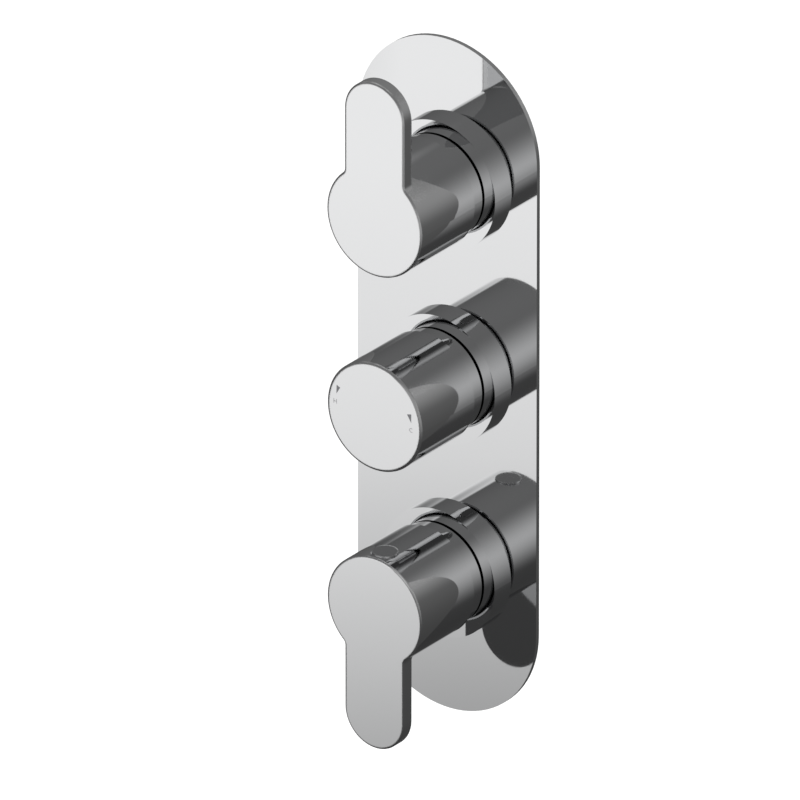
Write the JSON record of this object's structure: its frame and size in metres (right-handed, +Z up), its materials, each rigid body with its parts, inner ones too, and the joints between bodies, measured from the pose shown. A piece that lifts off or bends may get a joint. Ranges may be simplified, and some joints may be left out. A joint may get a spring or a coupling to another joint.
{
  "type": "thermostatic shower valve",
  "caption": "Concealed thermostatic shower valve: pill-shaped face plate with lever handles above and below a round temperature knob, on a brass in-wall body holding its cartridges.",
  "frame": {"origin": "centre of the flat back face of the brass in-wall body, level with the middle control's axis", "axes": "+Z up along the face plate, -Y out of the wall towards the user, so that +Y points into the wall, and +X to the user's right"},
  "size_m": [0.09, 0.084, 0.3],
  "materials": {
    "chrome": "polished chrome plate",
    "cast_brass": "cast and blasted",
    "turned_brass": "turned",
    "rubber": "moulded",
    "white_plastic": "moulded",
    "red_plastic": "moulded",
    "ceramic": "lapped ceramic",
    "steel": "bright stainless steel"
  },
  "bodies": {
    "fixed_assembly": {"face_plate": "chrome", "upper_collar": "chrome", "middle_collar": "chrome", "lower_collar": "chrome", "upper_sleeve": "chrome", "middle_sleeve": "chrome", "lower_sleeve": "chrome", "valve_body": "cast_brass", "mixer_nut": "turned_brass", "upper_flow_nut": "turned_brass", "lower_flow_nut": "turned_brass", "plate_gasket": "rubber", "collar_seals": "rubber", "sleeve_seals": "rubber", "mixer_seals": "rubber", "upper_port_seal": "rubber", "lower_port_seal": "rubber", "mixer_housing": "white_plastic", "upper_flow_housing": "white_plastic", "lower_flow_housing": "white_plastic", "stop_ring": "red_plastic", "upper_fixed_disc": "ceramic", "lower_fixed_disc": "ceramic", "return_spring": "steel"},
    "upper_control": {"upper_lever": "chrome", "upper_screw_plug": "chrome", "upper_grub_screw": "steel", "upper_adapter": "turned_brass", "upper_flow_spindle": "turned_brass", "upper_moving_disc": "ceramic"},
    "lower_control": {"lower_lever": "chrome", "lower_screw_plug": "chrome", "lower_grub_screw": "steel", "lower_adapter": "turned_brass", "lower_flow_spindle": "turned_brass", "lower_moving_disc": "ceramic"},
    "temperature_control": {"temperature_knob": "chrome", "temperature_screw_plug": "chrome", "temperature_grub_screw": "steel", "temperature_adapter": "turned_brass", "adjuster_spindle": "turned_brass"},
    "mixing_shuttle": {"lift_cup": "turned_brass", "override_spring": "steel", "override_piston": "turned_brass", "piston_clip": "steel", "wax_element": "turned_brass", "shuttle": "steel"}
  },
  "joints": [
    {"name": "upper_lever_turn", "type": "hinge", "parent": "fixed_assembly", "child": "upper_control", "pos_m": [0, -0.084, 0.087], "axis": [0, -1, 0], "range_deg": [0, 90]},
    {"name": "temperature_turn", "type": "hinge", "parent": "fixed_assembly", "child": "temperature_control", "pos_m": [0, -0.084, 0], "axis": [0, -1, 0], "range_deg": [-120, 120]},
    {"name": "lower_lever_turn", "type": "hinge", "parent": "fixed_assembly", "child": "lower_control", "pos_m": [0, -0.084, -0.087], "axis": [0, -1, 0], "range_deg": [0, 90]},
    {"name": "shuttle_slide", "type": "slide", "parent": "fixed_assembly", "child": "mixing_shuttle", "axis": [0, -1, 0], "range_m": [-0.001, 0.001], "deforming": ["return_spring"]}
  ],
  "couplings": [
    {"joint": "shuttle_slide", "follows": "temperature_turn", "m_per_rad": 0.000477}
  ]
}
